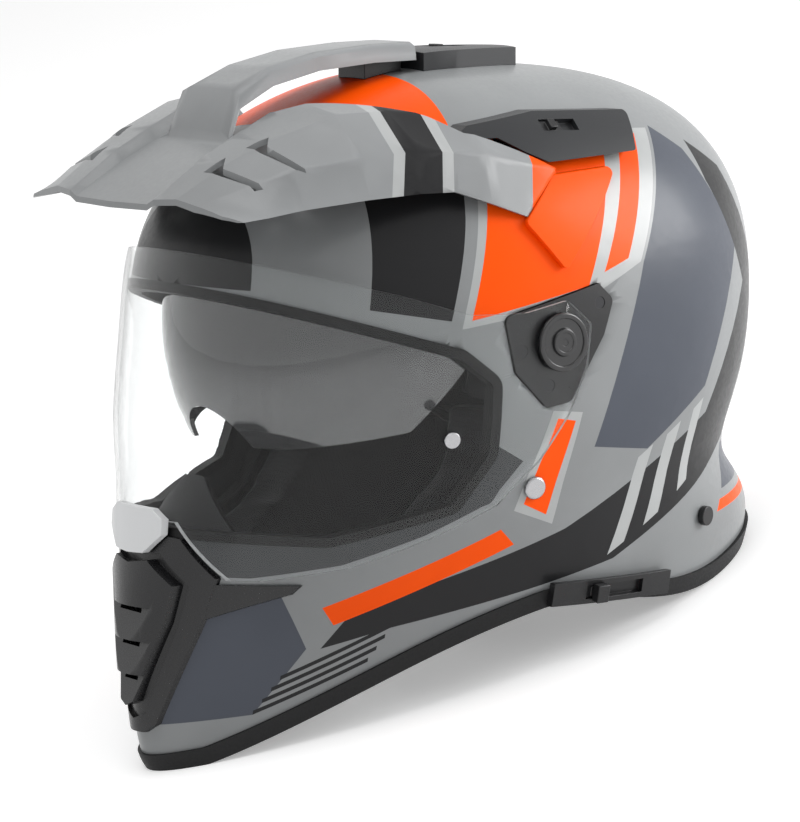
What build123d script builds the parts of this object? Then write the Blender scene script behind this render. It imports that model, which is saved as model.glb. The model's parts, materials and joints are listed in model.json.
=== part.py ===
from build123d import *
import os
from math import copysign, cos, radians, sin

# Dual sport helmet, in millimetres.
# Everything is drawn in the worn frame: origin midway between the two shield pivots,
# +X to the wearer's left, +Y to the back, +Z up. At the end every piece is tipped back
# by table_tilt, so that the helmet stands on its chin and nape trim with z = 0 below it.

# Main sizes of the shell
front_reach = 164.0       # shield pivot to the front of the chin bar
rear_reach = 183.0        # shield pivot to the back of the shell
half_width = 125.0        # mid-plane to the widest point of the shell
crown_height = 130.0      # shield pivot to the top of the shell
chin_depth = 232.0        # shield pivot to the lowest section, below the trim
shell_wall = 4.5
table_tilt = 16.4         # degrees from the worn pose to the pose on a table
pivot_height = 162.0      # shield pivot above the table
pivot_back = 14.7         # shield pivot behind the middle of the whole helmet

# Horizontal sections of the shell, lowest first: height, front, back, half width and
# place of the widest point, as shares of the sizes above, then the two roundnesses.
level_shares = (
    (-1.000, 0.780, 0.683, 0.624, 0.219, 1.55, 2.20),
    (-0.884, 0.976, 0.798, 0.704, 0.219, 1.55, 2.20),
    (-0.754, 1.000, 0.874, 0.784, 0.208, 1.60, 2.20),
    (-0.603, 1.000, 0.967, 0.856, 0.175, 1.70, 2.20),
    (-0.483, 0.988, 1.027, 0.904, 0.142, 1.82, 2.20),
    (-0.379, 0.970, 1.005, 0.936, 0.109, 1.95, 2.20),
    (-0.267, 0.951, 0.918, 0.960, 0.077, 2.08, 2.25),
    (-0.129, 0.927, 0.973, 0.992, 0.055, 2.18, 2.30),
    (0.043, 0.896, 1.000, 1.000, 0.055, 2.20, 2.35),
)
dome_angles = (16, 30, 42, 52, 61, 69, 76, 82, 87)
dome_roundness = 2.3
dome_front_roundness = 2.05
dome_back_roundness = 2.85
dome_side_roundness = 2.25
dome_centre_share = 0.098
ring_points = 20
ring_length_share = 1.33  # length over width of the ring that sets the spacing along all rings
ring_roundness = 2.1

# Fits shared by many pieces
overrun = 60.0            # how far a cutter runs past what it cuts
seat_gap = 0.05           # between a piece and the curved face that it is bonded to
liner_gap = 0.5           # between a loose liner and what holds it
running_gap = 0.1         # shaft to hole
tight_gap = 0.02          # fixed screw or rivet to hole
slider_gap = 0.3          # slider to its recess

forms = {}


def ring_spacing():
    """Shares of the way round a typical ring at its points, the same for every ring."""
    spots = []
    for step in range(ring_points + 1):
        turn = radians(90 + 360 * step / ring_points)
        x = copysign(abs(cos(turn)) ** (2 / ring_roundness), cos(turn))
        y = ring_length_share * copysign(abs(sin(turn)) ** (2 / ring_roundness), sin(turn))
        spots.append(Vector(x, y, 0))
    gone = [0.0]
    for start, end in zip(spots, spots[1:]):
        gone.append(gone[-1] + (end - start).length)
    return [way / gone[-1] for way in gone]


ring_parameters = ring_spacing()


def level_ring(height, front, back, half, middle, front_round, back_round):
    """One horizontal outline of the shell as a closed smooth curve."""
    points = []
    for step in range(ring_points):
        turn = radians(90 + 360 * step / ring_points)
        across, along = cos(turn), sin(turn)
        roundness = front_round if along < 0 else back_round
        reach = middle + front if along < 0 else back - middle
        x = half * copysign(abs(across) ** (2 / roundness), across)
        y = middle + reach * copysign(abs(along) ** (2 / roundness), along)
        points.append(Vector(0 if step in (0, ring_points // 2) else x, y, height))
    return Wire([Edge.make_spline(points, periodic=True, parameters=ring_parameters)])


def form(inset=0.0):
    """The solid outer form of the shell, drawn in by inset (a negative inset swells it)."""
    if inset in forms:
        return forms[inset]
    rings = []
    for share in level_shares:
        height = share[0] * chin_depth
        front = share[1] * front_reach - inset
        back = share[2] * rear_reach - inset
        half = share[3] * half_width - inset
        middle = share[4] * rear_reach
        rings.append((height, front, back, half, middle, share[5], share[6]))
    height, front, back, half, middle, front_round, back_round = rings[-1]
    centre = dome_centre_share * rear_reach
    rise = crown_height - inset - height
    for angle in dome_angles:
        up = sin(radians(angle)) ** (2 / dome_roundness)
        front_part = (1 - up ** dome_front_roundness) ** (1 / dome_front_roundness)
        back_part = (1 - up ** dome_back_roundness) ** (1 / dome_back_roundness)
        side_part = (1 - up ** dome_side_roundness) ** (1 / dome_side_roundness)
        rings.append((
            height + rise * up,
            (front + centre) * front_part - centre,
            centre + (back - centre) * back_part,
            half * side_part,
            middle + (centre - middle) * (1 - side_part),
            front_round,
            back_round,
        ))
    forms[inset] = Solid.make_loft([level_ring(*ring) for ring in rings])
    return forms[inset]


def rounded_face(points, radius):
    """A flat face inside a closed outline with rounded corners."""
    if radius:
        return make_face(FilletPolyline(*points, radius=radius, close=True))
    return make_face(Polyline(*points, close=True))


def height_of(share):
    """A height from a share: of the crown above the pivots, of the chin's depth below them."""
    return share * (crown_height if share > 0 else chin_depth)


def side_face(shares, radius=0.0):
    points = [(0, y * front_reach, height_of(z)) for y, z in shares]
    return rounded_face(points, radius)


def side_prism(shares, radius=0.0, grow=0.0, both=True):
    """A side view outline run across the helmet, or only to the wearer's left."""
    face = side_face(shares, radius)
    if grow:
        face = offset(face, amount=grow)
    reach = half_width + overrun
    return extrude(face, amount=reach, dir=(1, 0, 0), both=both)


def front_prism(shares, radius=0.0, mirrored=True):
    """A front view outline of the left half run through the front of the helmet."""
    points = [(x * half_width, -front_reach - overrun, height_of(z)) for x, z in shares]
    left = extrude(rounded_face(points, radius), amount=front_reach, dir=(0, 1, 0))
    return left + mirror(left, Plane.YZ) if mirrored else left


def top_prism(shares, radius=0.0):
    """A top view outline of the left half run up through the crown."""
    points = [(x * half_width, y * front_reach, 0) for x, y in shares]
    left = extrude(rounded_face(points, radius), amount=crown_height + overrun, dir=(0, 0, 1))
    return left + mirror(left, Plane.YZ)


def seat_plane(y, z, inset):
    """A plane on the left side of the form, facing out. Its x axis runs back."""
    line = Axis((half_width / 2, y, z), (1, 0, 0))
    hits = form(inset).find_intersection_points(line)
    point, normal = max(hits, key=lambda hit: hit[0].X)
    if normal.X < 0:
        normal = normal * -1
    back = Vector(0, 1, 0)
    along = back - normal * normal.dot(back)
    return Plane(origin=point, x_dir=along, z_dir=normal)


def disc(plane, radius, low, high):
    """A round disc square to a plane, from low to high above it."""
    return plane * Pos(0, 0, (low + high) / 2) * Cylinder(radius, high - low)


def block(x_size, y_size, z_size, x, y, z):
    return Pos(x, y, z) * Box(x_size, y_size, z_size)


def right_of(piece):
    return mirror(piece, Plane.YZ)


# How the worn frame stands on the table, and the line that the lower edge follows
on_table = Pos(0, pivot_back, pivot_height) * Rot(-table_tilt, 0, 0)
off_table = on_table.inverse()
chin_rest_y = -178.0      # back end of the flat under the chin
nape_rest_y = 108.0       # front end of the flat under the nape
arch_y = -22.0            # highest place of the arch between them
arch_rise = 32.0
chin_slope = 14.0         # degrees at which the edge leaves the chin rest


def above_edge(raise_by):
    """The space above the lower edge line, raised by raise_by, in the worn frame."""
    far = front_reach + rear_reach
    flat = (1, 0)
    slope = (cos(radians(chin_slope)), sin(radians(chin_slope)))
    level = Plane.YZ.offset(-half_width - overrun)
    front = level * Line((-far, raise_by), (chin_rest_y, raise_by))
    arch = level * Spline(
        (chin_rest_y, raise_by),
        (arch_y, raise_by + arch_rise),
        (nape_rest_y, raise_by),
        tangents=[slope, flat, flat],
    )
    back = level * Line((nape_rest_y, raise_by), (far, raise_by))
    up = level * Polyline((far, raise_by), (far, far + far), (-far, far + far), (-far, raise_by))
    space = extrude(make_face([front, arch, back, up]), amount=2 * (half_width + overrun), dir=(1, 0, 0))
    return off_table * space


# Side view outlines: shares of front_reach, then of crown_height above the pivots and of
# chin_depth below them
port_shares = (
    (-1.646, 0.285), (-0.890, 0.208), (-0.305, -0.008), (-0.189, -0.073),
    (-0.189, -0.237), (-0.293, -0.354), (-0.634, -0.422), (-1.646, -0.397),
)
port_corner = 10.0
port = side_prism(port_shares, port_corner)

shield_shares = (
    (-1.646, 0.385), (-0.915, 0.338), (-0.488, 0.192), (-0.293, 0.115), (-0.122, 0.115),
    (0.024, 0.154), (0.110, 0.062), (0.098, -0.052), (0.037, -0.155), (-0.055, -0.250),
    (-0.183, -0.341), (-0.366, -0.405), (-0.579, -0.466), (-0.793, -0.496), (-1.646, -0.496),
)
shield_corner = 4.0
shield_thickness = 2.2
shield_gap = 2.0          # shell to the inside of the shield
notch_shares = ((0.000, -0.379), (0.216, -0.379), (0.400, -0.500), (0.400, -0.647), (0.000, -0.647))

plate_shares = (
    (-0.183, 0.100), (0.152, 0.208), (0.207, 0.146), (0.171, 0.015), (0.049, -0.129),
    (-0.037, -0.138), (-0.146, -0.061),
)
plate_corner = 4.0
plate_pocket = 2.5        # depth of the pocket in the shell
plate_stand = 1.2         # how far the plate stands out of the shell
plate_clearance = 0.4

# Fasteners seen on the side: place in the side view, then sizes
rivet_y_share, rivet_z_share = -0.049, -0.310
rivet_head_radius = 5.8
rivet_head_height = 2.4
rivet_shank_radius = 2.5
rivet_washer_radius = 8.0
rivet_washer_thickness = 1.2
stud_y_share, stud_z_share = 0.659, -0.418
stud_radius = 5.0
stud_height = 3.4

# Outer shell
shell_band = form(0.0) - form(shell_wall)
trim_seat = 3.0           # trim under the shell's edge
shell = shell_band & above_edge(trim_seat)
shell = shell - port
plate_well = side_prism(plate_shares, plate_corner, grow=plate_clearance, both=False) - form(plate_pocket)
shell = shell - plate_well - right_of(plate_well)

chin_hole_shares = ((0.000, -0.504), (0.200, -0.516), (0.130, -0.728), (0.000, -0.740))
chin_hole = front_prism(chin_hole_shares)
shell = shell - chin_hole

top_hole_shares = ((0.000, 0.010), (0.110, 0.010), (0.090, 0.220), (0.000, 0.220))
shell = shell - top_prism(top_hole_shares)

side_hole_shares = ((-0.090, 0.700), (0.300, 0.700), (0.300, 0.790), (-0.090, 0.770))
side_hole = side_prism(side_hole_shares, both=False)
shell = shell - side_hole - right_of(side_hole)

rivet_y = rivet_y_share * front_reach
rivet_z = height_of(rivet_z_share)
rivet_plane = seat_plane(rivet_y, rivet_z, 0.0)
rivet_lift = 0.4          # head and washer stand off the curved shell by this much
washer_inset = 6.4        # outer face of the washer inside the shell, with the strap between
rivet_end = -washer_inset - rivet_washer_thickness
rivet = disc(rivet_plane, rivet_shank_radius, rivet_end, rivet_lift)
rivet_head = disc(rivet_plane, rivet_head_radius, rivet_lift, rivet_head_height)
rivet_head = fillet(rivet_head.edges().filter_by(GeomType.CIRCLE).sort_by(Axis.X)[-1], rivet_head_height * 0.6)
rivet_well = disc(rivet_plane, rivet_shank_radius + tight_gap, -shell_wall * 2, shell_wall)
shell = shell - rivet_well - right_of(rivet_well)
rivet = rivet + rivet_head
rivet = rivet + disc(rivet_plane, rivet_washer_radius, rivet_end, -washer_inset)

# Shield base plates, their screws, the pivots and the caps
pivot_radius = 12.0
pivot_cap_radius = 14.5
pivot_cap_thickness = 1.8
pivot_hub_radius = 6.5
pivot_hub_height = 1.0
plate_flat_depth = 0.8    # flat spot under the pivot
screw_head_radius = 3.0
screw_head_height = 1.4
screw_shank_radius = 1.5
plate = (side_prism(plate_shares, plate_corner, both=False) & form(-plate_stand)) - form(plate_pocket - seat_gap)
pivot_seat_x = seat_plane(0, 0, -plate_stand).origin.X - plate_flat_depth
shield_outer_x = seat_plane(0, 0, -shield_gap - shield_thickness).origin.X
side_axis = Plane(origin=(0, 0, 0), x_dir=(0, 1, 0), z_dir=(1, 0, 0))
pivot_top = shield_outer_x + 2 * slider_gap
pivot = disc(side_axis, pivot_radius, pivot_seat_x, pivot_top)
plate = plate - disc(side_axis, pivot_radius + slider_gap, pivot_seat_x, pivot_top + overrun)
pivot_cap = disc(side_axis, pivot_cap_radius, pivot_top, pivot_top + pivot_cap_thickness)
pivot_cap = fillet(pivot_cap.edges().filter_by(GeomType.CIRCLE).sort_by(Axis.X)[-1], pivot_cap_thickness * 0.5)
cap_groove = disc(side_axis, pivot_cap_radius * 0.78, pivot_top + pivot_cap_thickness * 0.6, pivot_top + overrun)
cap_groove = cap_groove - disc(side_axis, pivot_hub_radius, pivot_top, pivot_top + overrun)
pivot_cap = pivot_cap - cap_groove
hub_top = pivot_top + pivot_cap_thickness + pivot_hub_height
pivot_cap = pivot_cap + disc(side_axis, pivot_hub_radius, pivot_top + pivot_cap_thickness * 0.5, hub_top)
grip_slot = block(pivot_hub_height * 2, pivot_hub_radius * 1.4, pivot_hub_radius * 0.3, hub_top, 0, 0)
pivot_cap = pivot_cap - grip_slot

screw_place_shares = ((0.155, 0.135), (-0.030, -0.092), (-0.125, -0.017))
screws = []
for y_share, z_share in screw_place_shares:
    spot = seat_plane(y_share * front_reach, height_of(z_share), -plate_stand)
    head = disc(spot, screw_head_radius, -screw_head_height - slider_gap, -slider_gap)
    socket = disc(spot, screw_shank_radius * 0.7, -slider_gap - screw_head_height / 2, 0)
    shank = disc(spot, screw_shank_radius, -shell_wall - plate_stand, -slider_gap)
    screws.append(head - socket + shank)
    plate = plate - disc(spot, screw_head_radius + tight_gap, -screw_head_height - slider_gap, overrun)
    plate = plate - disc(spot, screw_shank_radius + tight_gap, -overrun, overrun)
    well = disc(spot, screw_shank_radius + tight_gap, -overrun / 2, overrun / 2)
    shell = shell - well - right_of(well)

# Face shield with its lens pins and its lift tab
shield = side_prism(shield_shares, shield_corner) & form(-shield_gap - shield_thickness)
shield = shield - form(-shield_gap)
shield = shield - front_prism(notch_shares)
hub_hole = disc(side_axis, pivot_radius + running_gap, 0, half_width + overrun)
shield = shield - hub_hole - right_of(hub_hole)
pin_y_share, pin_z_share = -0.348, -0.194
pin_radius = 2.0
pin_head_radius = 4.0
pin_head_height = 1.3
pin_plane = seat_plane(pin_y_share * front_reach, height_of(pin_z_share), -shield_gap - shield_thickness)
pin_lift = 0.15
lens_pin = disc(pin_plane, pin_radius, -shield_thickness, pin_lift)
lens_pin = lens_pin + disc(pin_plane, pin_head_radius, pin_lift, pin_head_height)
pin_well = disc(pin_plane, pin_radius + tight_gap, -overrun / 4, overrun / 4)
shield = shield - pin_well - right_of(pin_well)

tab_shares = ((0.000, -0.353), (0.130, -0.353), (0.190, -0.373), (0.190, -0.406), (0.100, -0.448), (0.000, -0.451))
tab_stand = 4.0           # how far the lift tab stands out of the shield
tab = front_prism(tab_shares) & form(-shield_gap - shield_thickness - tab_stand)
tab = tab - form(-shield_gap - shield_thickness - seat_gap)

# Peak: a folded sheet between stations from front to back. Each station gives its place,
# then heights of the channel floor and crease, then the shoulder, fold and lower edge.
peak_wall = 3.0
channel_half = 34.0
crease_half = 40.0
peak_side_room = 22.0     # half_width to the shoulder line's unit
peak_half_width = half_width - peak_side_room
peak_station_shares = (
    (-1.110, 0.500, 0.515, (0.534, 0.513), (0.631, 0.500), (0.971, 0.470)),
    (-0.915, 0.650, 0.690, (0.602, 0.672), (0.825, 0.608), (0.981, 0.498)),
    (-0.800, 0.725, 0.770, (0.665, 0.752), (0.922, 0.662), (0.996, 0.521)),
    (-0.595, 0.860, 0.900, (0.755, 0.850), (1.010, 0.705), (1.045, 0.550)),
    (-0.427, 0.950, 0.960, (0.790, 0.860), (1.045, 0.720), (1.080, 0.566)),
    (-0.317, 0.980, 0.985, (0.850, 0.850), (1.065, 0.712), (1.105, 0.568)),
    (-0.200, 0.990, 0.995, (0.900, 0.830), (1.085, 0.700), (1.140, 0.520)),
    (0.075, 1.000, 1.005, (0.930, 0.800), (1.095, 0.625), (1.165, 0.400)),
)
peak_plan_shares = (
    (0.000, -1.082), (0.320, -1.076), (0.720, -1.030), (0.810, -0.995), (1.040, -0.930), (1.040, -0.165),
    (0.955, -0.105), (0.895, 0.050), (0.800, -0.232), (0.600, -0.433), (0.336, -0.665),
    (0.208, -0.738), (0.000, -0.750),
)


def peak_section(station):
    y_share, floor, crease, shoulder, fold, edge = station
    y = y_share * front_reach
    unit, tall = peak_half_width, crown_height
    upper = [
        (channel_half, floor * tall), (crease_half, crease * tall), (shoulder[0] * unit, shoulder[1] * tall),
        (fold[0] * unit, fold[1] * tall), (edge[0] * unit, edge[1] * tall),
    ]
    lower = [(x, z - peak_wall) for x, z in upper[:3]]
    lower.append((upper[3][0] - peak_wall / 2, upper[3][1] - peak_wall))
    lower.append((upper[4][0] - peak_wall, upper[4][1]))
    left_side = upper + lower[::-1]
    right_side = [(-x, z) for x, z in lower] + [(-x, z) for x, z in upper[::-1]]
    outline = left_side + right_side
    return Wire.make_polygon([Vector(x, y, z) for x, z in outline], close=True)


peak_sheet = Solid.make_loft([peak_section(station) for station in peak_station_shares], ruled=True)
peak_sheet = peak_sheet & top_prism(peak_plan_shares)

strut_half = 23.0
strut_depth = 9.0
strut_wall = 2.6
strut_station_shares = (
    (-0.775, 0.780, 1.25), (-0.730, 0.930, 1.20), (-0.600, 1.010, 1.05), (-0.430, 1.062, 1.00),
    (-0.230, 1.086, 0.96), (-0.076, 1.092, 0.95),
)


def strut_section(station, inset):
    y_share, top_share, wide = station
    y = y_share * front_reach
    top = top_share * crown_height - inset
    low = top_share * crown_height - strut_depth - 4 * inset
    base = strut_half * wide - inset
    crest = base * 0.72
    chamfer = strut_depth * 0.25
    left_side = [(crest, top), (base - chamfer / 2, top - chamfer), (base, low)]
    outline = left_side + [(-x, z) for x, z in left_side[::-1]]
    return Wire.make_polygon([Vector(x, y, z) for x, z in outline], close=True)


strut = Solid.make_loft([strut_section(station, 0.0) for station in strut_station_shares], ruled=True)
strut_core = Solid.make_loft([strut_section(station, strut_wall) for station in strut_station_shares[1:]], ruled=True)
strut = strut - strut_core
peak = peak_sheet + strut

louvre_shares = (
    ((0.480, -0.835), (0.512, -0.771), (0.572, -0.805), (0.776, -0.771), (0.760, -0.796), (0.568, -0.829)),
    ((0.424, -0.954), (0.444, -0.887), (0.504, -0.924), (0.720, -0.890), (0.704, -0.912), (0.500, -0.948)),
)
for shares in louvre_shares:
    outline = [(x * half_width, y * front_reach, 0) for x, y in shares]
    louvre = extrude(make_face(Polyline(*outline, close=True)), amount=crown_height + overrun, dir=(0, 0, 1))
    peak = peak - louvre - right_of(louvre)

# Crown mount between the shell and the back of the peak's strut
mount_half = 12.0
mount_length = 22.0
strut_end_y = strut_station_shares[-1][0] * front_reach
mount_block = block(
    2 * mount_half, mount_length, crown_height, 0, strut_end_y - mount_length / 2 - strut_wall, crown_height
)
strut_space = Solid.make_loft([strut_section(station, 0.0) for station in strut_station_shares], ruled=True)
mount_block = mount_block & (strut_core + strut_space)
crown_mount = (mount_block & strut_core) - form(-seat_gap)

# Side covers over the peak's side screws
cover_shares = ((0.043, 0.615), (0.293, 0.638), (0.030, 0.262), (-0.091, 0.446))
cover_stand = 3.2
cover_corner = 2.5
side_cover = (side_prism(cover_shares, cover_corner, both=False) & form(-cover_stand)) - form(-seat_gap)
peak_gap = 0.4
peak_band_cut = side_prism(cover_shares, cover_corner, grow=peak_gap, both=False)
peak = peak - peak_band_cut - right_of(peak_band_cut)
peak = peak - form(-peak_gap)

# Top vent with its slider
top_vent_shares = ((0.000, -0.070), (0.192, -0.058), (0.200, 0.061), (0.136, 0.317), (0.000, 0.329))
top_vent_stand = 9.0
slider_length = 12.0
slider_width = 11.0
slider_thickness = 2.0
slider_travel = 9.0
nub_length = 4.0
nub_height = 2.6
top_vent = (top_prism(top_vent_shares) & form(-top_vent_stand)) - form(-seat_gap)
slider_start_y = 8.0
recess_floor = crown_height + top_vent_stand - slider_thickness - 3 * slider_gap - 1.2
recess_length = slider_length + slider_travel + 2 * slider_gap
top_recess = block(
    slider_width + 2 * slider_gap, recess_length, overrun, 0, slider_start_y + recess_length / 2,
    recess_floor + overrun / 2,
)
top_vent = top_vent - top_recess
slider_y = slider_start_y + slider_gap + slider_length / 2
slider_low = recess_floor + slider_gap
top_slider = block(slider_width, slider_length, slider_thickness, 0, slider_y, slider_low + slider_thickness / 2)
top_slider = top_slider + block(
    slider_width * 0.7, nub_length, nub_height + seat_gap, 0, slider_y, slider_low + slider_thickness + nub_height / 2
)

# Side vents with their sliders
side_vent_shares = (
    (-0.256, 0.746), (-0.183, 0.800), (0.061, 0.846), (0.427, 0.838), (0.378, 0.690),
    (0.030, 0.662), (-0.037, 0.700), (-0.110, 0.754),
)
side_vent_stand = 7.0
side_vent_corner = 2.0
mouth_shares = ((-0.366, 0.560), (-0.366, 0.720), (-0.160, 0.775), (-0.040, 0.735), (0.122, 0.700), (0.122, 0.560))
mouth_lip = 2.4
side_vent = (side_prism(side_vent_shares, side_vent_corner, both=False) & form(-side_vent_stand)) - form(-seat_gap)
mouth = side_prism(mouth_shares, both=False) & form(mouth_lip - side_vent_stand)
side_vent = side_vent - mouth
side_slider_y_share, side_slider_z_share = 0.100, 0.795
vent_plane = seat_plane(side_slider_y_share * front_reach, side_slider_z_share * crown_height, -side_vent_stand)
side_slider_width = 7.0
side_recess_depth = 3.4
side_recess = vent_plane * block(
    recess_length, side_slider_width + 2 * slider_gap, overrun, slider_travel / 2, 0, overrun / 2 - side_recess_depth
)
side_vent = side_vent - side_recess
side_slider_low = slider_gap - side_recess_depth
side_slider = block(slider_length, side_slider_width, slider_thickness, 0, 0, side_slider_low + slider_thickness / 2)
side_slider = side_slider + block(
    nub_length, side_slider_width * 0.8, nub_height + seat_gap, 0, 0,
    side_slider_low + slider_thickness + nub_height / 2,
)
side_slider = vent_plane * side_slider

# Chin vent: a low frame, a proud centre panel stepped into louvres, and side wings
chin_vent_shares = (
    (0.000, -0.400), (0.233, -0.414), (0.352, -0.494), (0.285, -0.592), (0.102, -0.818),
    (0.050, -0.838), (0.000, -0.838),
)
chin_groove_shares = (
    (0.000, -0.455), (0.144, -0.448), (0.263, -0.513), (0.215, -0.600), (0.070, -0.795), (0.000, -0.810),
)
chin_panel_shares = (
    (0.000, -0.473), (0.115, -0.463), (0.228, -0.513), (0.185, -0.596), (0.045, -0.770), (0.000, -0.780),
)
chin_wing_shares = ((0.330, -0.508), (0.560, -0.506), (0.530, -0.526), (0.275, -0.588))
chin_frame_stand = 3.0
chin_groove_stand = 0.8
chin_panel_stand = 7.0
chin_wing_stand = 1.6
chin_groove = front_prism(chin_groove_shares) - form(-chin_groove_stand)
chin_vent = (front_prism(chin_vent_shares) & form(-chin_frame_stand)) - chin_groove
louvre_count = 3
louvre_top = 131.0        # pivot line down to the first ledge
louvre_pitch = 17.0
louvre_depth = 4.5        # how far each louvre's top lies behind its foot
louvre_gap = 3.0
louvre_width = 20.0
louvre_narrow = 4.0       # each louvre is narrower than the one above by this much
chin_panel = front_prism(chin_panel_shares) & form(-chin_panel_stand)
panel_front_y = -front_reach - chin_panel_stand
for louvre in range(louvre_count):
    ledge_z = -louvre_top - louvre * louvre_pitch
    wedge_points = [
        (0, panel_front_y - louvre_depth, ledge_z), (0, panel_front_y + louvre_depth, ledge_z),
        (0, panel_front_y - louvre_depth, ledge_z - 2 * louvre_pitch),
    ]
    wedge = extrude(make_face(Polyline(*wedge_points, close=True)), amount=half_width, dir=(1, 0, 0), both=True)
    chin_panel = chin_panel - wedge
chin_vent = chin_vent + chin_panel
for louvre in range(louvre_count):
    ledge_z = -louvre_top - louvre * louvre_pitch
    width = louvre_width - louvre * louvre_narrow
    chin_vent = chin_vent - block(width, overrun, louvre_gap, 0, -front_reach, ledge_z - louvre_gap / 2)
chin_vent = chin_vent + (front_prism(chin_wing_shares) & form(-chin_wing_stand))
chin_vent = chin_vent - form(-seat_gap)

grille_inset = 1.0
grille_thickness = 2.0
grille_hole_shares = ((0.000, -0.506), (0.196, -0.518), (0.126, -0.726), (0.000, -0.738))
grille = (front_prism(grille_hole_shares) & form(grille_inset)) - form(grille_inset + grille_thickness)
bar_count = 7
bar_pitch = 7.0
bar_gap = 4.4
bar_height = 39.0
bar_z = -143.0
for bar in range(bar_count):
    bar_x = (bar - (bar_count - 1) / 2) * bar_pitch
    grille = grille - block(bar_gap, overrun, bar_height, bar_x, -front_reach, bar_z)

# Rubber trim on the lower edge and the seal round the eye port
trim_height = 9.0
trim_wall = 2.0
trim = (form(-trim_wall) - form(shell_wall + trim_wall)) & above_edge(0.0)
trim = trim - above_edge(trim_height)
trim = trim - ((form(-seat_gap) - form(shell_wall + seat_gap)) & above_edge(trim_seat - seat_gap))

seal_width = 5.0
seal_stand = 1.5
seal = side_prism(port_shares, port_corner, grow=-seat_gap) - side_prism(port_shares, port_corner, grow=-seal_width)
seal = seal & (form(-seal_stand) - form(shell_wall + seal_stand))
# The top of the chin vent laps over the seal
chin_vent = chin_vent - (port & form(-seal_stand - seat_gap))

# Head space, crown foam and comfort liner
front_foam_depth = 64.0   # shell to head space, from here on down
rear_foam_depth = 47.0
side_foam_depth = 38.0
crown_foam_depth = 38.0
head_centre_z = -10.0
head_centre_y = (rear_reach - rear_foam_depth - front_reach + front_foam_depth) / 2
head_half_width = half_width - side_foam_depth
head_half_length = (rear_reach - rear_foam_depth + front_reach - front_foam_depth) / 2
head_half_height = crown_height - crown_foam_depth - head_centre_z
pad_thickness = 9.0
roll_height = 30.0        # of the neck roll above the trim


def head_space(inset):
    """An egg shaped space for the head, drawn in by inset."""
    ball = Sphere(head_half_width)
    half_x = head_half_width - inset
    half_y = head_half_length - inset
    half_z = head_half_height - inset
    shaped = scale(ball, by=(half_x / head_half_width, half_y / head_half_width, half_z / head_half_width))
    return Pos(0, head_centre_y, head_centre_z) * shaped


# Sun visor: part of an egg about its own hinge line, so it turns in its own thickness
visor_y = -10.0
visor_z = 3.0
visor_front_room = 32.0   # shell to the visor in front, then at the side
visor_side_room = 16.0
visor_radius = front_reach - visor_front_room + visor_y
visor_half_width = half_width - visor_side_room
visor_thickness = 2.2
visor_room = 1.6
visor_travel = 36.0
visor_pin_radius = 3.0
visor_shares = (
    (-1.646, 0.400), (-0.793, 0.231), (-0.366, 0.160), (-0.080, 0.125), (0.010, 0.080),
    (0.010, -0.017), (-0.080, -0.042), (-0.244, -0.056), (-0.378, -0.189), (-0.640, -0.233), (-1.646, -0.269),
)
visor_corner = 3.0


def visor_egg(inset):
    ball = Sphere(visor_radius)
    across = (visor_half_width - inset) / visor_radius
    along = (visor_radius - inset) / visor_radius
    return Pos(0, visor_y, visor_z) * scale(ball, by=(across, along, along))


sun_visor = (visor_egg(0.0) - visor_egg(visor_thickness)) & side_prism(visor_shares, visor_corner)
nose_arch_radius = 30.0
nose_arch_z = -66.0
nose_arch = Pos(0, -front_reach, nose_arch_z) * Rot(90, 0, 0) * Cylinder(nose_arch_radius, front_reach)
sun_visor = sun_visor - nose_arch
visor_axis = Plane(origin=(0, visor_y, visor_z), x_dir=(0, 1, 0), z_dir=(1, 0, 0))
visor_pin_hole = disc(visor_axis, visor_pin_radius + running_gap, 0, half_width)
sun_visor = sun_visor - visor_pin_hole - right_of(visor_pin_hole)
visor_pin_in = visor_half_width - 3 * visor_thickness
visor_pin = disc(visor_axis, visor_pin_radius, visor_pin_in, half_width) & form(shell_wall + seat_gap)
visor_pin_head = 1.8 * visor_pin_radius
visor_pin = visor_pin + disc(visor_axis, visor_pin_head, visor_pin_in - visor_thickness, visor_pin_in)

upper_edge_points = 5     # of visor_shares: the edge that leads when the visor swings up
cosine, sine = cos(radians(visor_travel)), sin(radians(visor_travel))
sweep_points = []
for index, (y_share, z_share) in enumerate(visor_shares):
    back, up = y_share * front_reach - visor_y, height_of(z_share) - visor_z
    if index < upper_edge_points:
        back, up = back * cosine + up * sine, up * cosine - back * sine
    sweep_points.append((0, visor_y + back, visor_z + up))
sweep_face = offset(make_face(Polyline(*sweep_points, close=True)), amount=visor_room)
visor_sweep = extrude(sweep_face, amount=half_width, dir=(1, 0, 0), both=True)
visor_hub_radius = 24.0
visor_hub_room = disc(visor_axis, visor_hub_radius, -half_width, half_width)
visor_pocket = (visor_sweep + visor_hub_room) - visor_egg(visor_thickness + visor_room)
pin_room_half = visor_pin_in - visor_thickness - visor_room
pin_room = disc(visor_axis, visor_pin_head + visor_room, pin_room_half, half_width)

foam_shares = (
    (-1.646, 0.369), (-0.890, 0.292), (-0.305, 0.085), (-0.134, -0.034), (-0.134, -0.129),
    (0.244, -0.181), (0.671, -0.362), (1.585, -0.414), (1.585, 1.538), (-1.646, 1.538),
)
foam_space = side_prism(foam_shares)
crown_foam = (form(shell_wall + liner_gap) & foam_space) - head_space(0.0)
crown_foam = crown_foam & above_edge(trim_height + roll_height + liner_gap)
crown_foam = crown_foam - visor_pocket - pin_room - right_of(pin_room)
channel_radius = 6.0
channel_spots = (-0.30, 0.0, 0.30)
for spot_share in channel_spots:
    channel = Pos(spot_share * half_width, 0, crown_height * 0.62) * Rot(90, 0, 0)
    crown_foam = crown_foam - channel * Cylinder(channel_radius, front_reach * 0.9)

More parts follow.
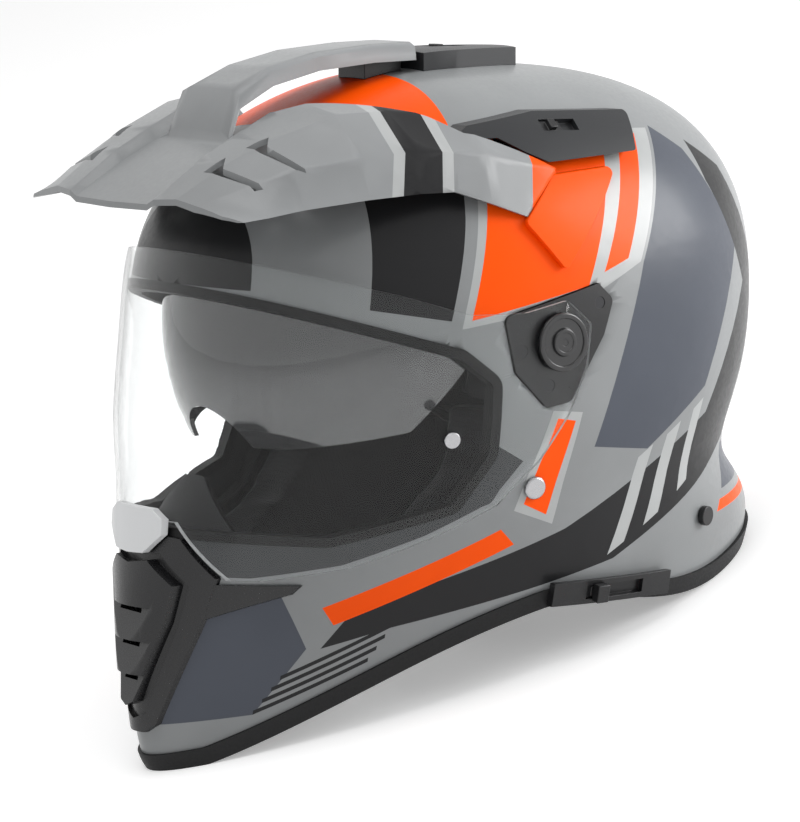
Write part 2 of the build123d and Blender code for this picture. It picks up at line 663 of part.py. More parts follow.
crown_liner = (head_space(liner_gap) - head_space(liner_gap + pad_thickness)) & foam_space
crown_liner = crown_liner & above_edge(trim_height + roll_height + liner_gap)

# Cheek foam and cheek pads
cheek_shares = (
    (-0.122, -0.142), (0.232, -0.194), (0.512, -0.310), (0.561, -0.483), (0.183, -0.612),
    (-0.300, -0.661), (-0.500, -0.560), (-0.451, -0.448), (-0.280, -0.397), (-0.134, -0.267),
)
cheek_corner = 6.0
cheek_foam_thickness = 14.0
cheek_depth = 65.0        # shell to the face space
face_half_width = half_width - cheek_depth
face_half_length = 118.0
face_half_height = 150.0
face_centre_z = -70.0
strap_thickness = 1.4
strap_rise = trim_height + liner_gap    # underside of the straps above the lower edge
cheek_space = side_prism(cheek_shares, cheek_corner, both=False)
cheek_space = cheek_space & above_edge(strap_rise + strap_thickness + liner_gap)
cheek_foam = (cheek_space & form(shell_wall + rivet_washer_thickness * 3)) - form(shell_wall + cheek_foam_thickness)
cheek_foam = cheek_foam - visor_hub_room
face_ball = Sphere(face_half_width)
face_space = scale(face_ball, by=(1, face_half_length / face_half_width, face_half_height / face_half_width))
face_space = Pos(0, head_centre_y, face_centre_z) * face_space
cheek_pad = (cheek_space & form(shell_wall + cheek_foam_thickness + liner_gap)) - face_space
cheek_pad = cheek_pad - block(face_half_width, 2 * front_reach, 2 * chin_depth, 0, 0, -chin_depth / 2)
cheek_pad = cheek_pad - visor_hub_room

# Chin foam, breath guard and chin curtain
chin_foam_shares = (
    (-1.646, -0.448), (-0.634, -0.466), (-0.560, -0.482), (-0.610, -0.647), (-0.451, -0.741),
    (-0.671, -0.897), (-1.646, -0.897),
)
chin_foam_thickness = 18.0
chin_foam = (form(shell_wall + liner_gap) & side_prism(chin_foam_shares)) - form(shell_wall + chin_foam_thickness)
chin_foam = chin_foam - chin_hole
curtain_thickness = 1.6
curtain_height = trim_height + 5.0
chin_foam = chin_foam & above_edge(curtain_height + curtain_thickness + liner_gap)

guard_shares = (
    (-0.180, -0.330), (-0.060, -0.277), (0.060, -0.277), (0.180, -0.330), (0.400, -0.420),
    (0.400, -0.493), (-0.180, -0.493),
)
guard_corner = 5.0
guard_inset = 12.0
guard_thickness = 2.5
guard_lean = 22.0         # degrees back from the shell's own line
guard_foot_y = 14.0 - front_reach
guard_foot_share = -0.450
breath_guard = (front_prism(guard_shares, guard_corner) & form(guard_inset)) - form(guard_inset + guard_thickness)
guard_foot = Axis((0, guard_foot_y, height_of(guard_foot_share)), (1, 0, 0))
breath_guard = breath_guard.rotate(guard_foot, -guard_lean)
breath_guard = breath_guard - side_prism(chin_foam_shares, grow=seat_gap)

curtain_depth = 34.0
curtain_back_y = -128.0
curtain = (form(shell_wall + liner_gap) - form(shell_wall + curtain_depth)) & above_edge(curtain_height)
curtain = curtain - above_edge(curtain_height + curtain_thickness)
far = front_reach + rear_reach
behind_chin = off_table * block(2 * far, far, 2 * far, 0, curtain_back_y + far / 2, 0)
curtain = curtain - behind_chin

# Neck roll round the back of the opening
roll_thickness = 20.0
roll_front_y = 52.0
roll = (form(shell_wall + liner_gap) - form(shell_wall + roll_thickness)) & above_edge(trim_height + liner_gap)
roll = roll - above_edge(trim_height + roll_height)
before_roll = off_table * block(2 * far, far, 2 * far, 0, roll_front_y - far / 2, 0)
roll = roll - before_roll
cheek_room = side_prism(cheek_shares, cheek_corner, grow=2 * liner_gap)
roll = roll - cheek_room

# Sun visor lever in its track on the left side of the lower edge
track_y = 43.0
track_length = 74.0
track_z = -127.0
track_height = 12.0
track_stand = 4.5
lever_length = 13.0
lever_width = 6.4
lever_thickness = 2.0
lever_travel = 22.0
lever_recess = 3.4
lever_knob_length = 7.0
lever_knob_width = 9.0
lever_knob_height = 4.5
track_block = block(half_width, track_length, track_height, half_width, track_y, track_z)
track = (track_block & form(-trim_wall - track_stand)) - form(-trim_wall - seat_gap)
track_plane = seat_plane(track_y, track_z, -trim_wall - track_stand)
slot_length = lever_length + lever_travel + 2 * slider_gap
track = track - track_plane * block(
    slot_length, lever_width + 2 * slider_gap, overrun, 0, 0, overrun / 2 - lever_recess
)
lever_x = -lever_travel / 2
lever_low = slider_gap - lever_recess
lever = block(lever_length, lever_width, lever_thickness, lever_x, 0, lever_low + lever_thickness / 2)
knob_low = lever_low + lever_thickness
knob_stem = -knob_low + slider_gap
lever = lever + block(lever_knob_length, lever_width * 0.7, knob_stem, lever_x, 0, knob_low + knob_stem / 2)
lever = lever + block(
    lever_knob_length, lever_knob_width, lever_knob_height, lever_x, 0,
    knob_low + knob_stem + lever_knob_height / 2,
)
lever = track_plane * lever

# Rear vent
rear_vent_half = 38.0
rear_vent_low, rear_vent_high = -45.0, 15.0
rear_vent_stand = 5.0
rear_vent_mid = (rear_vent_low + rear_vent_high) / 2
rear_vent = block(2 * rear_vent_half, rear_reach, rear_vent_high - rear_vent_low, 0, rear_reach, rear_vent_mid)
rear_vent = chamfer(rear_vent.edges().filter_by(Axis.Y), rear_vent_half * 0.3)
rear_vent = (rear_vent & form(-rear_vent_stand)) - form(-seat_gap)
rear_slot_height = 5.0
rear_slot_depth = 3.0
rear_slot_places = (-0.24, 0.24)
for place in rear_slot_places:
    slot_z = rear_vent_mid + place * (rear_vent_high - rear_vent_low)
    rear_slot = block(1.3 * rear_vent_half, rear_reach, rear_slot_height, 0, rear_reach, slot_z)
    rear_vent = rear_vent - (rear_slot - form(rear_slot_depth - rear_vent_stand))

# Chin straps: riveted inside the shell, down to the lower edge and across to a buckle
strap_width = 22.0
strap_inset = shell_wall + liner_gap / 5
strap_y = rivet_y - 4.0
strap_top_room = 9.0      # of strap above the rivet
buckle_length = 34.0
buckle_width = strap_width + 4.0
buckle_height = 8.0
buckle_corner = 2.5
strap_grip = 6.0          # length of strap inside the buckle
strap_slab = block(2 * half_width, strap_width, 2 * chin_depth, half_width, strap_y, rivet_z + strap_top_room - chin_depth)
strap = form(strap_inset) & strap_slab
strap = strap & above_edge(strap_rise)
strap_hollow = form(strap_inset + strap_thickness) & above_edge(strap_rise + strap_thickness)
strap = strap - strap_hollow
buckle_end = buckle_length / 2
strap = strap - block(2 * (buckle_end - strap_grip), 2 * front_reach, 2 * chin_depth, 0, 0, -chin_depth)
strap = strap - disc(rivet_plane, rivet_shank_radius + tight_gap, -overrun, overrun)
strap_start = (on_table * Pos(0, strap_y, rivet_z)).position
buckle_z = arch_rise + strap_rise + strap_thickness / 2
strap_drop = (strap_start.Z - buckle_z) / cos(radians(table_tilt))
buckle_y = strap_start.Y - strap_drop * sin(radians(table_tilt))
buckle = block(buckle_length, buckle_width, buckle_height, 0, buckle_y, buckle_z)
buckle = fillet(buckle.edges(), buckle_corner)
buckle_room = block(
    2 * (strap_grip + liner_gap), strap_width + 4 * liner_gap, 3 * strap_thickness, buckle_end, buckle_y, buckle_z
)
buckle = off_table * (buckle - buckle_room - right_of(buckle_room))

# Collar studs at the back of the lower edge
stud_plane = seat_plane(stud_y_share * front_reach, height_of(stud_z_share), 0.0)
stud = disc(stud_plane, stud_radius, seat_gap * 4, stud_height)

pieces = {
    "outer_shell": shell,
    "edge_trim": trim,
    "eye_port_seal": seal,
    "crown_foam": crown_foam,
    "crown_liner": crown_liner,
    "cheek_foam_left": cheek_foam,
    "cheek_foam_right": right_of(cheek_foam),
    "cheek_pad_left": cheek_pad,
    "cheek_pad_right": right_of(cheek_pad),
    "chin_foam": chin_foam,
    "breath_guard": breath_guard,
    "chin_curtain": curtain,
    "neck_roll": roll,
    "face_shield": shield,
    "shield_lift_tab": tab,
    "lens_pins": Compound([lens_pin, right_of(lens_pin)]),
    "base_plate_left": plate,
    "base_plate_right": right_of(plate),
    "base_plate_screws": Compound(screws + [right_of(screw) for screw in screws]),
    "shield_pivot_left": pivot,
    "shield_pivot_right": right_of(pivot),
    "pivot_cap_left": pivot_cap,
    "pivot_cap_right": right_of(pivot_cap),
    "sun_visor": sun_visor,
    "sun_visor_pins": Compound([visor_pin, right_of(visor_pin)]),
    "visor_lever_track": track,
    "visor_lever": lever,
    "peak": peak,
    "crown_mount": crown_mount,
    "side_cover_left": side_cover,
    "side_cover_right": right_of(side_cover),
    "top_vent": top_vent,
    "top_vent_slider": top_slider,
    "side_vent_left": side_vent,
    "side_vent_right": right_of(side_vent),
    "side_vent_slider_left": side_slider,
    "side_vent_slider_right": right_of(side_slider),
    "chin_vent": chin_vent,
    "chin_vent_grille": grille,
    "strap_rivets": Compound([rivet, right_of(rivet)]),
    "collar_studs": Compound([stud, right_of(stud)]),
    "rear_vent": rear_vent,
    "chin_strap_left": strap,
    "chin_strap_right": right_of(strap),
    "strap_buckle": buckle,
}

os.makedirs("parts", exist_ok=True)
for name, piece in pieces.items():
    export_step(on_table * piece, f"parts/{name}.step")
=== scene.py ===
import json
from math import cos, radians, sin

import bmesh
import bpy
from mathutils import Matrix, Vector

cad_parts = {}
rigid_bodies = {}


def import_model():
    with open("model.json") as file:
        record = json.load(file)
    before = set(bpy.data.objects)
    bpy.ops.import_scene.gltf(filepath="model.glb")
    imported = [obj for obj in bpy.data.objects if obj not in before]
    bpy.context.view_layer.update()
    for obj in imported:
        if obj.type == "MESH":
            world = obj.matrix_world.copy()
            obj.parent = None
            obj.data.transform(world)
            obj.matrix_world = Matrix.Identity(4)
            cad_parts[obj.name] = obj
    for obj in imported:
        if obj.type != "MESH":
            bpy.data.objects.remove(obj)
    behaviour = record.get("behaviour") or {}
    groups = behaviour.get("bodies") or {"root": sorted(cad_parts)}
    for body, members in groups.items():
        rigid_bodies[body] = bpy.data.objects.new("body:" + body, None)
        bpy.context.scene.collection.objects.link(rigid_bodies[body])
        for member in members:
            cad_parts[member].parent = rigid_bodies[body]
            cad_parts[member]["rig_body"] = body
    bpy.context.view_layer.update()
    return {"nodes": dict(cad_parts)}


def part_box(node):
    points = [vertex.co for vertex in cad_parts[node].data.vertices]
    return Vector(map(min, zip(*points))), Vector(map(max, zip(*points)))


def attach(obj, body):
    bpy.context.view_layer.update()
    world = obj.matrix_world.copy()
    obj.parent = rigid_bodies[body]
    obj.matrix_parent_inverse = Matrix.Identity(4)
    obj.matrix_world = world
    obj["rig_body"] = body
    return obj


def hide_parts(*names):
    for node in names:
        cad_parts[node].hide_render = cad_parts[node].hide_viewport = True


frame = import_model()
nodes = frame["nodes"]

# The helmet stands on its chin and nape trim, tipped back from the way it is worn.
# Shapes below are drawn in the worn pose, in millimetres from the middle of the shield's
# pivot line, and this matrix takes them to the table.
mm = 0.001
table_tilt = radians(16.4)
pivot_back = 14.7 * mm
pivot_height = 162.0 * mm
worn = Matrix.Translation((0, pivot_back, pivot_height)) @ Matrix.Rotation(-table_tilt, 4, "X")
worn_mm = worn @ Matrix.Scale(mm, 4)

# Camera: from the wearer's front left and a little above, level with the worn helmet.
# A long lens from over two metres away, as a product is usually photographed.
camera_round = radians(56.0)
camera_up = radians(7.0)
camera_distance = 2200.0
camera_right = -6.3
camera_rise = -46.5
focal_mm = 194.4
camera_sees = 20.0
right = Vector((cos(camera_round), sin(camera_round), 0))
toward = Vector((sin(camera_round) * cos(camera_up), -cos(camera_round) * cos(camera_up), sin(camera_up)))
upward = toward.cross(right)
place = right * camera_right + upward * camera_rise + toward * camera_distance
camera_data = bpy.data.cameras.new("camera")
camera_data.sensor_fit = "HORIZONTAL"
camera_data.lens = focal_mm
camera_data.clip_end = camera_sees
camera = bpy.data.objects.new("camera", camera_data)
bpy.context.scene.collection.objects.link(camera)
turn = Matrix((right, upward, toward)).transposed().to_4x4()
camera.matrix_world = worn @ Matrix.Translation(place * mm) @ turn
bpy.context.scene.camera = camera
bpy.context.scene.view_settings.view_transform = "Standard"


# Painted shell. The real one is moulded in fibre and resin, sprayed mid grey, masked for
# its darker and brighter fields, and sealed under a satin lacquer. Inside it is bare.
def material_of(name, colour, roughness, metallic=0.0, specular=0.5):
    """A new material with one Principled shader; returns the material and the shader."""
    material = bpy.data.materials.new(name)
    material.use_nodes = True
    shader = material.node_tree.nodes["Principled BSDF"]
    shader.inputs["Base Color"].default_value = (*colour, 1)
    shader.inputs["Roughness"].default_value = roughness
    shader.inputs["Metallic"].default_value = metallic
    shader.inputs["Specular IOR Level"].default_value = specular
    material.diffuse_color = (*colour, 1)
    return material, shader


def object_place(material):
    """The material's Object coordinates, which stay with the piece."""
    return material.node_tree.nodes.new("ShaderNodeTexCoord").outputs["Object"]


def noise_on(material, scale, detail=3.0):
    """A noise texture on Object coordinates; returns its factor socket."""
    tree = material.node_tree
    noise = tree.nodes.new("ShaderNodeTexNoise")
    noise.inputs["Scale"].default_value = scale
    noise.inputs["Detail"].default_value = detail
    tree.links.new(object_place(material), noise.inputs["Vector"])
    return noise.outputs["Fac"]


# The part of a noise's range that spreads a value, and the part that mixes two tints.
noise_low, noise_high = 0.3, 0.7
tint_low, tint_high = 0.35, 0.65


def spread_over(material, shader, factor, socket, low, high):
    """The socket follows factor between two numbers."""
    tree = material.node_tree
    span = tree.nodes.new("ShaderNodeMapRange")
    span.inputs["From Min"].default_value = noise_low
    span.inputs["From Max"].default_value = noise_high
    span.inputs["To Min"].default_value = low
    span.inputs["To Max"].default_value = high
    tree.links.new(factor, span.inputs["Value"])
    tree.links.new(span.outputs["Result"], shader.inputs[socket])


def tint_over(material, shader, factor, first, second):
    """The base colour follows factor between two colours."""
    tree = material.node_tree
    ramp = tree.nodes.new("ShaderNodeValToRGB")
    ramp.color_ramp.elements[0].position = tint_low
    ramp.color_ramp.elements[1].position = tint_high
    ramp.color_ramp.elements[0].color = (*first, 1)
    ramp.color_ramp.elements[1].color = (*second, 1)
    tree.links.new(factor, ramp.inputs["Fac"])
    tree.links.new(ramp.outputs["Color"], shader.inputs["Base Color"])


def bump_from(material, shader, factor, depth_and_edge_shade, strength=1.0):
    """A bump of the given depth, in metres."""
    tree = material.node_tree
    bump = tree.nodes.new("ShaderNodeBump")
    bump.inputs["Distance"].default_value = depth_and_edge_shade
    bump.inputs["Strength"].default_value = strength
    tree.links.new(factor, bump.inputs["Height"])
    tree.links.new(bump.outputs["Normal"], shader.inputs["Normal"])


lacquer_roughness = 0.34
lacquer_wander = 0.04
coat_share = 0.25
coat_roughness = 0.14
mottle_share = 0.05


def lacquer(name, colour, specular):
    """Satin lacquer over sprayed colour, with a faint orange peel."""
    material, shader = material_of(name, colour, lacquer_roughness, specular=specular)
    shader.inputs["Coat Weight"].default_value = specular * coat_share
    shader.inputs["Coat Roughness"].default_value = coat_roughness
    mottle = noise_on(material, scale=18.0)
    lighter = [min(1.0, part * (1 + mottle_share)) for part in colour]
    darker = [part * (1 - mottle_share) for part in colour]
    tint_over(material, shader, mottle, darker, lighter)
    peel = noise_on(material, scale=420.0, detail=2.0)
    smooth, rough = lacquer_roughness - lacquer_wander, lacquer_roughness + lacquer_wander
    spread_over(material, shader, peel, "Roughness", smooth, rough)
    bump_from(material, shader, peel, depth_and_edge_shade=0.00002, strength=0.4)
    return material


shell_grey = (0.225, 0.234, 0.238)
field_colours = {
    "light_grey": (0.38, 0.39, 0.39),
    "slate": (0.070, 0.078, 0.098),
    "graphite": (0.048, 0.050, 0.053),
    "charcoal": (0.012, 0.012, 0.013),
    "orange": (1.0, 0.088, 0.0015),
}
# How much each colour mirrors; the dark ones are flatted, so that they stay dark.
shell_specular = 0.42
dark_specular = 0.2
field_specular = {"light_grey": 0.4, "orange": 0.1}
# Fields of colour in the side view: (back, up) in millimetres, alike on both sides.
fields = (
    ("charcoal", ((-210, 30), (-210, 125), (-140, 125), (-122, 90), (-132, 26))),
    ("charcoal", ((-92, 18), (-83, 92), (-37, 92), (-44, 60), (-56, 12))),
    ("orange", ((-90, 98), (-90, 140), (-22, 140), (-34, 98))),
    ("light_grey", ((-51, 8), (-27, 102), (85, 99), (54, 36), (20, 20))),
    ("orange", ((-46, 12), (-23, 98), (51, 98), (20, 26))),
    ("orange", ((30, 32), (61, 97), (74, 97), (46, 38))),
    ("slate", ((56, 36), (88, 100), (106, 88), (134, 40), (104, -30), (62, -58), (26, -54), (44, 0))),
    ("charcoal", ((112, 92), (136, 78), (164, 20), (138, -60), (44, -112), (-70, -140), (-100, -150),
                  (-88, -130), (12, -94), (108, -44), (142, 20), (116, 72))),
    ("light_grey", ((56, -62), (66, -56), (50, -104), (40, -110))),
    ("light_grey", ((76, -52), (86, -46), (72, -91), (62, -97))),
    ("light_grey", ((96, -41), (104, -36), (94, -77), (86, -82))),
    ("light_grey", ((-1, -34), (17, -36), (4, -91), (-18, -83))),
    ("orange", ((2, -38), (13, -40), (0, -86), (-13, -80))),
    ("orange", ((-24, -92), (-16, -100), (-96, -138), (-102, -129))),
    ("graphite", ((-200, -52), (-104, -70), (-50, -64), (-30, -50), (-16, -58), (-32, -78), (-62, -93),
                  (-97, -107), (-132, -114), (-200, -114))),
    ("slate", ((-190, -118), (-122, -118), (-106, -150), (-124, -184), (-190, -196))),
    ("slate", ((136, -64), (220, -56), (220, -74), (128, -86))),
    ("orange", ((125, -91), (220, -78), (220, -83), (122, -97))),
)
# Four thin stripes low on the jaw, one above the other and leaning back.
stripe_count = 4
stripe_pitch = 6.0
stripe_width = 2.2
stripe_front, stripe_back = -124.0, -78.0
stripe_low = -184.0
stripe_rise = 0.58
stripe_lean = 0.5


def inside(outline, y, z):
    """Whether a point of the side view lies inside an outline."""
    hit = False
    for (y0, z0), (y1, z1) in zip(outline, outline[1:] + outline[:1]):
        if (z0 > z) != (z1 > z) and y < y0 + (z - z0) * (y1 - y0) / (z1 - z0):
            hit = not hit
    return hit


# How far past an outline the skin is looked through, how squarely a face of the skin has
# to look outwards, and how near a cut may pass a corner before it goes through it.
skin_margin = 12.0
skin_facing = 0.2
cut_snap = 0.001


def mask_and_spray(mesh, core, outline, slot, clear_of_middle=0.0):
    """Cuts the outer skin along an outline and gives what lies inside it a paint slot."""
    low_y = min(y for y, z in outline) - skin_margin
    high_y = max(y for y, z in outline) + skin_margin
    low_z = min(z for y, z in outline) - skin_margin
    high_z = max(z for y, z in outline) + skin_margin

    def skin():
        picked = []
        for face in mesh.faces:
            middle = face.calc_center_median()
            if abs(middle.x) < clear_of_middle:
                continue
            if not (low_y < middle.y < high_y and low_z < middle.z < high_z):
                continue
            if face.normal.dot((middle - core).normalized()) > skin_facing:
                picked.append(face)
        return picked

    for (y0, z0), (y1, z1) in zip(outline, outline[1:] + outline[:1]):
        faces = skin()
        edges = {edge for face in faces for edge in face.edges}
        points = {point for face in faces for point in face.verts}
        bmesh.ops.bisect_plane(
            mesh, geom=[*faces, *edges, *points], dist=cut_snap,
            plane_co=(0, y0, z0), plane_no=Vector((0, z1 - z0, y0 - y1)).normalized(),
        )
    for face in skin():
        middle = face.calc_center_median()
        if inside(outline, middle.y, middle.z):
            face.material_index = slot


merge_within = 0.01


def worn_copy(node):
    """A merged copy of a node's mesh, in the worn pose and in millimetres."""
    mesh = bmesh.new()
    mesh.from_mesh(nodes[node].data)
    bmesh.ops.transform(mesh, matrix=worn_mm.inverted(), verts=mesh.verts)
    bmesh.ops.remove_doubles(mesh, verts=mesh.verts, dist=merge_within)
    return mesh


sharp_above = 32.0


def settle(mesh, name, body, material, replaced=(), smooth_angle=sharp_above):
    """Turns a finished bmesh, in worn millimetres, into a piece that rides on a body."""
    bmesh.ops.transform(mesh, matrix=worn_mm, verts=mesh.verts)
    data = bpy.data.meshes.new(name)
    mesh.to_mesh(data)
    mesh.free()
    piece = bpy.data.objects.new(name, data)
    bpy.context.scene.collection.objects.link(piece)
    materials = material if isinstance(material, (list, tuple)) else [material]
    for one in materials:
        data.materials.append(one)
    data.shade_smooth()
    data.set_sharp_from_angle(angle=radians(smooth_angle))
    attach(piece, body)
    if replaced:
        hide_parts(*replaced)
    return piece


broad_face_weight = 80


def even_shading(piece):
    """Lets the broad faces set the shading, so that cut edges don't show as dents."""
    weighted = piece.modifiers.new("even shading", "WEIGHTED_NORMAL")
    weighted.keep_sharp = True
    weighted.weight = broad_face_weight


def paint_list(first):
    """A first material and one for each field colour, with the slot of each colour."""
    paints = [first]
    slots = {}
    for name in field_colours:
        slots[name] = len(paints)
        paints.append(field_paints[name])
    return paints, slots


field_paints = {}
for name, colour in field_colours.items():
    field_paints[name] = lacquer(f"{name}_lacquer", colour, field_specular.get(name, dark_specular))

# The skin is what looks away from this point; the rest of the shell is bare fibre.
shell_core = Vector((0, 12, -30))
shell_mesh = worn_copy("outer_shell")
shell_paints, slot_of = paint_list(lacquer("shell_grey_lacquer", shell_grey, shell_specular))
raw_black = (0.010, 0.010, 0.011)
raw_fibre, raw_shader = material_of("raw_fibre", raw_black, roughness=0.7)
raw_grain = noise_on(raw_fibre, scale=500.0, detail=5.0)
bump_from(raw_fibre, raw_shader, raw_grain, depth_and_edge_shade=0.0001)
raw_slot = len(shell_paints)
shell_paints.append(raw_fibre)
for name, outline in fields:
    mask_and_spray(shell_mesh, shell_core, outline, slot_of[name])
for stripe in range(stripe_count):
    low = stripe_low + stripe * stripe_pitch
    front = stripe_front + stripe * stripe_pitch * stripe_lean
    back = stripe_back + stripe * stripe_pitch * stripe_lean
    rise = (back - front) * stripe_rise
    band = ((front, low), (back, low + rise), (back, low + rise + stripe_width), (front, low + stripe_width))
    mask_and_spray(shell_mesh, shell_core, band, slot_of["charcoal"])
for face in shell_mesh.faces:
    if face.normal.dot((face.calc_center_median() - shell_core).normalized()) < skin_facing:
        face.material_index = raw_slot
painted_shell = settle(shell_mesh, "painted_shell", "helmet", shell_paints, ["outer_shell"])
even_shading(painted_shell)


# Rubber trim, eye port seal and breath guard. All are moulded black rubber: the first two
# are pushed on to the raw edges of the shell, the guard is held by the chin foam.
def finish_node(name, material):
    """Gives a CAD node its finish."""
    data = nodes[name].data
    data.materials.clear()
    data.materials.append(material)


flat_within = 0.8
eased_steps = 2


def eased(node, material, width):
    """A copy of a moulded node with its sharp edges rounded, as the mould leaves them."""
    mesh = worn_copy(node)
    bmesh.ops.dissolve_limit(mesh, angle_limit=radians(flat_within), verts=mesh.verts, edges=mesh.edges)
    piece = settle(mesh, f"{node}_eased", nodes[node]["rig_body"], material, [node])
    bevel = piece.modifiers.new("eased edges", "BEVEL")
    bevel.width = width * mm
    bevel.segments = eased_steps
    bevel.limit_method = "ANGLE"
    bevel.angle_limit = radians(sharp_above)
    bevel.miter_outer = "MITER_ARC"
    even_shading(piece)


def rubber(name, colour):
    """Black rubber with a fine dull grain."""
    material, shader = material_of(name, colour, roughness=0.6, specular=0.3)
    grain = noise_on(material, scale=900.0, detail=4.0)
    spread_over(material, shader, grain, "Roughness", low=0.48, high=0.66)
    bump_from(material, shader, grain, depth_and_edge_shade=0.00005, strength=0.6)
    return material


trim_black = (0.006, 0.006, 0.0065)
guard_black = (0.008, 0.008, 0.009)
trim_rubber = rubber("trim_rubber", trim_black)
finish_node("edge_trim", trim_rubber)
finish_node("eye_port_seal", trim_rubber)
eased("breath_guard", rubber("guard_rubber", guard_black), width=0.5)


# Impact foam: moulded black bead foam behind the shell, the cheeks and the chin. Its beads
# show as a fine pebble where nothing covers it.
bead_scale = 280.0
bead_black = (0.009, 0.009, 0.010)
bead_grey = (0.018, 0.018, 0.019)
bead_mean = (0.012, 0.012, 0.013)
foam, foam_shader = material_of("bead_foam", bead_mean, roughness=0.75, specular=0.25)
beads = foam.node_tree.nodes.new("ShaderNodeTexVoronoi")
beads.inputs["Scale"].default_value = bead_scale
foam.node_tree.links.new(object_place(foam), beads.inputs["Vector"])
bump_from(foam, foam_shader, beads.outputs["Distance"], depth_and_edge_shade=0.0004, strength=0.7)
tint_over(foam, foam_shader, beads.outputs["Distance"], bead_black, bead_grey)
for name in ("crown_foam", "cheek_foam_left", "cheek_foam_right", "chin_foam"):
    finish_node(name, foam)


# Removable comfort lining: pads of soft foam inside a knitted mesh cover, snapped and
# tucked into the foam. The curtain under the chin is a thinner sheet of the same make.
knit_black = (0.009, 0.009, 0.010)
knit_lift = 1.7
knit_scale = 420.0
knit_unevenness = 0.25
nap_sheen = 0.08
nap_roughness = 0.5
liner_knit, knit_shader = material_of("liner_knit", knit_black, roughness=0.85, specular=0.2)
knit_shader.inputs["Sheen Weight"].default_value = nap_sheen
knit_shader.inputs["Sheen Roughness"].default_value = nap_roughness
cells = liner_knit.node_tree.nodes.new("ShaderNodeTexVoronoi")
cells.inputs["Scale"].default_value = knit_scale
cells.inputs["Randomness"].default_value = knit_unevenness
liner_knit.node_tree.links.new(object_place(liner_knit), cells.inputs["Vector"])
bump_from(liner_knit, knit_shader, cells.outputs["Distance"], depth_and_edge_shade=0.0005, strength=0.8)
knit_grey = [part * knit_lift for part in knit_black]
tint_over(liner_knit, knit_shader, cells.outputs["Distance"], knit_black, knit_grey)


def bake(piece):
    """Applies the piece's modifiers to its mesh."""
    graph = bpy.context.evaluated_depsgraph_get()
    data = bpy.data.meshes.new_from_object(piece.evaluated_get(graph))
    old = piece.data
    piece.modifiers.clear()
    piece.data = data
    data.name = piece.name
    bpy.data.meshes.remove(old)


blow_pressure = 4.0
blow_steps = 12


def blow_up(piece, swell):
    """Swells a pad as cloth under pressure, and caps how far any point may move."""
    before = [point.co.copy() for point in piece.data.vertices]
    cloth = piece.modifiers.new("blown", "CLOTH")
    cloth.settings.use_pressure = True
    cloth.settings.uniform_pressure_force = blow_pressure
    cloth.settings.effector_weights.gravity = 0.0
    scene = bpy.context.scene
    for step in range(blow_steps):
        scene.frame_set(step + 1)
    bake(piece)
    scene.frame_set(1)
    for point, start in zip(piece.data.vertices, before):
        move = point.co - start
        if move.length > swell:
            point.co = start + move.normalized() * swell


def stuffed(node, material, voxel, drawn_in, swell):
    """A padded piece in place of a plain soft solid: remeshed, drawn in, blown up, smoothed."""
    data = nodes[node].data.copy()
    piece = bpy.data.objects.new(f"{node}_cover", data)
    data.name = piece.name
    bpy.context.scene.collection.objects.link(piece)
    data.materials.clear()
    data.materials.append(material)
    remesh = piece.modifiers.new("even", "REMESH")
    remesh.mode = "VOXEL"
    remesh.voxel_size = voxel * mm
    bake(piece)
    normals = [point.normal.copy() for point in piece.data.vertices]
    for point, normal in zip(piece.data.vertices, normals):
        point.co -= normal * drawn_in * mm
    if swell:
        blow_up(piece, swell * mm)
    rounded = piece.modifiers.new("rounded", "SUBSURF")
    rounded.levels = rounded.render_levels = 1
    piece.data.shade_smooth()
    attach(piece, "helmet")
    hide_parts(node)


for node in ("cheek_pad_left", "cheek_pad_right", "crown_liner", "neck_roll"):
    stuffed(node, liner_knit, voxel=4.5, drawn_in=1.2, swell=1.5)
stuffed("chin_curtain", liner_knit, voxel=0.9, drawn_in=0.0, swell=0.0)


# Chin strap: woven polyester webbing, riveted to the shell on each side and joined by a
# pressed steel buckle.
web_black = (0.008, 0.008, 0.009)
web_grey = (0.020, 0.020, 0.022)
web_mean = (0.012, 0.012, 0.013)
rib_scale = 260.0
rib_waver = 1.5
webbing, webbing_shader = material_of("strap_webbing", web_mean, roughness=0.8, specular=0.25)
ribs = webbing.node_tree.nodes.new("ShaderNodeTexWave")
ribs.bands_direction = "Y"
ribs.inputs["Scale"].default_value = rib_scale
ribs.inputs["Distortion"].default_value = rib_waver
webbing.node_tree.links.new(object_place(webbing), ribs.inputs["Vector"])
bump_from(webbing, webbing_shader, ribs.outputs["Fac"], depth_and_edge_shade=0.0003, strength=0.9)
tint_over(webbing, webbing_shader, ribs.outputs["Fac"], web_black, web_grey)
finish_node("chin_strap_left", webbing)
finish_node("chin_strap_right", webbing)


# Metal: the buckle, the strap rivets and the lens pins in satin steel, and the screws of
# the base plates in black oxide.
polished_by = 0.06
dulled_by = 0.08


def metal(name, colour, roughness):
    """Brushed or pressed metal."""
    material, shader = material_of(name, colour, roughness, metallic=1.0)
    brush = noise_on(material, scale=700.0, detail=6.0)
    spread_over(material, shader, brush, "Roughness", roughness - polished_by, roughness + dulled_by)
    return material


steel_grey = (0.40, 0.40, 0.41)
oxide_black = (0.04, 0.04, 0.042)
steel = metal("satin_steel", steel_grey, roughness=0.26)
eased("strap_buckle", steel, width=0.5)
eased("strap_rivets", steel, width=0.3)
eased("lens_pins", steel, width=0.2)
finish_node("base_plate_screws", metal("black_oxide", oxide_black, roughness=0.4))
